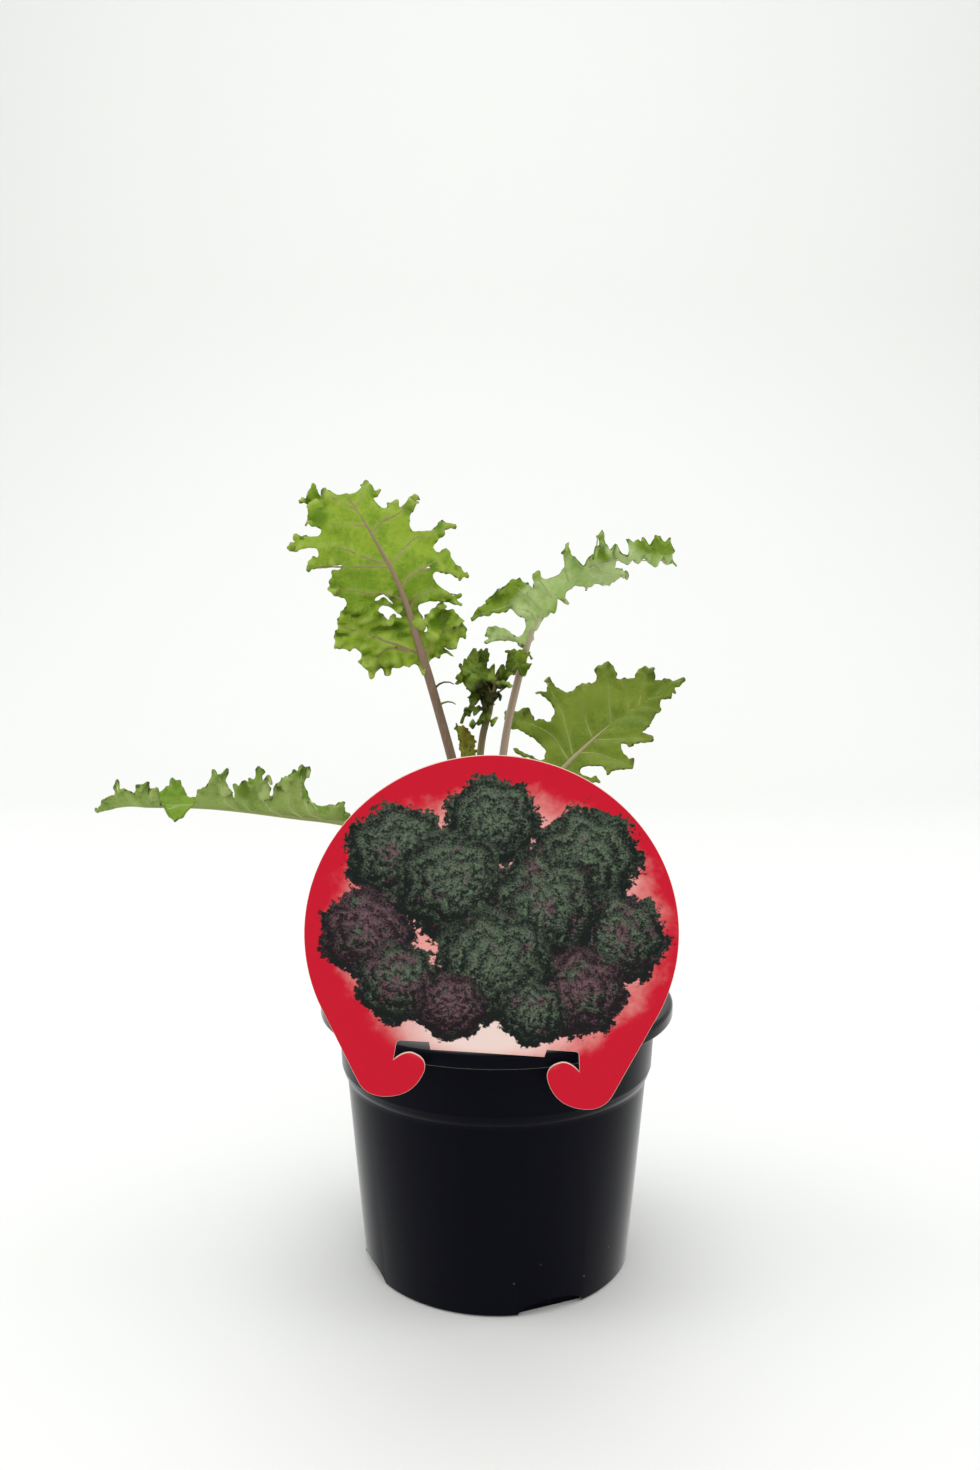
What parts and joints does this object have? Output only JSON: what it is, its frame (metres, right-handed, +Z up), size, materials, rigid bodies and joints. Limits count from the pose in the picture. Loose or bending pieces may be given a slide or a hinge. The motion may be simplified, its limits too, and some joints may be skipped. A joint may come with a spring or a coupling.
{
  "type": "potted kale seedling",
  "caption": "Young curly kale plant with lobed, toothed leaves on long stalks, growing in a black nursery pot with a red card label clipped to its lip.",
  "frame": {"origin": "middle of the pot's flat underside", "axes": "+Z up along the pot's axis; the label faces -Y; +X is to the right as seen from the label's side"},
  "size_m": [0.1794, 0.1119, 0.2308],
  "materials": {
    "pot": "black thin-walled moulding, soft gloss",
    "soil": "moist peat compost, matt and crumbly",
    "stalk": "smooth mauve-green plant stem",
    "leaf": "fresh green leaf, mauve veins, paler below",
    "young_leaf": "dark young leaf, tightly curled",
    "label": "printed thin plastic card, satin"
  },
  "bodies": {
    "root": {"pot": "pot", "soil": "soil", "stem": "stalk", "leaf_upper_left": "leaf", "leaf_upper_right": "leaf", "leaf_right": "leaf", "leaf_left": "leaf", "leaf_centre": "young_leaf", "leaf_bud": "young_leaf", "label": "label"}
  },
  "joints": []
}
